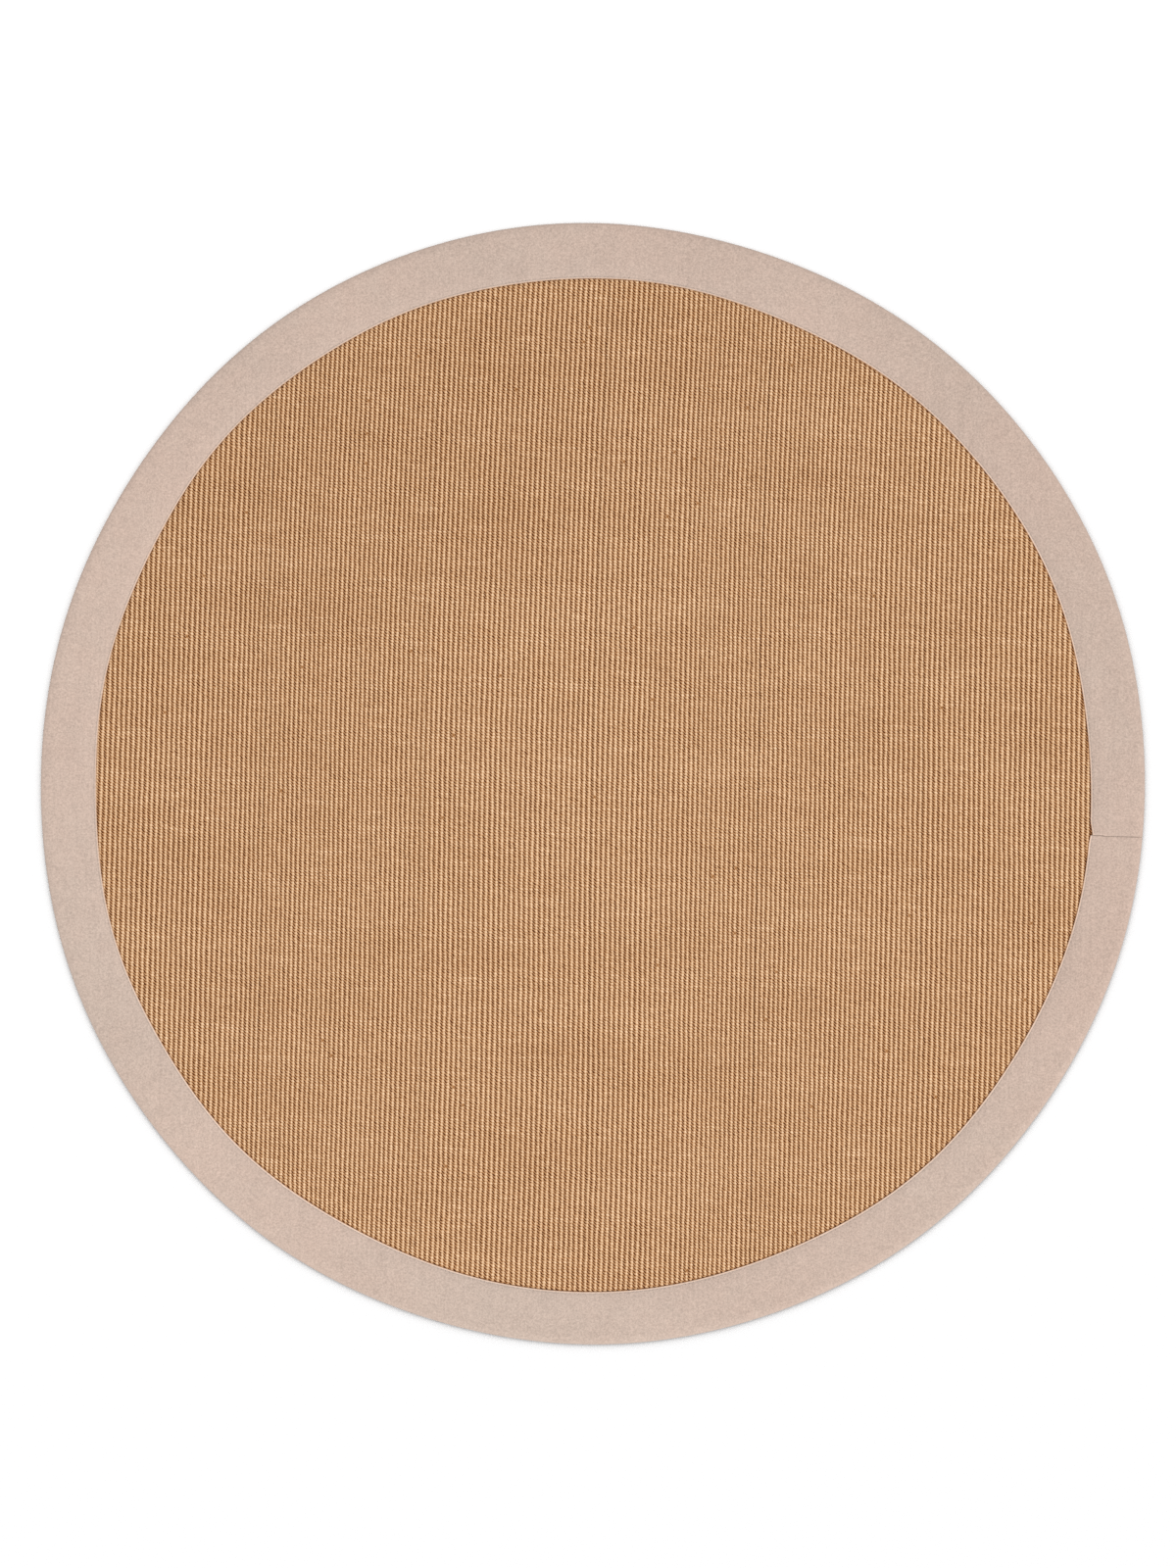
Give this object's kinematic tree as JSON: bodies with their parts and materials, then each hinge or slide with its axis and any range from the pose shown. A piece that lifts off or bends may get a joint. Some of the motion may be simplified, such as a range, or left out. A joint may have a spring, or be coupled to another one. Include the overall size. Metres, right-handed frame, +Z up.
{
  "type": "sisal rug",
  "caption": "Round flat sisal rug with fine ribs, bound all round with a wide plain cotton tape.",
  "frame": {"origin": "middle of the rug's outline, on the floor that it lies on", "axes": "+Z up out of the floor, +Y along the ribs and the slightly longer diameter, towards the top of the picture; the tape's join is near +X"},
  "size_m": [1.4826, 1.506, 0.0076],
  "materials": {
    "sisal": "ribbed loop weave of coarse matt sisal yarn, warm tan with pale loops and brown grooves",
    "cotton": "fine matt cotton twill tape, pinkish beige"
  },
  "bodies": {
    "root": {"sisal_mat": "sisal", "border_tape": "cotton"}
  },
  "joints": []
}
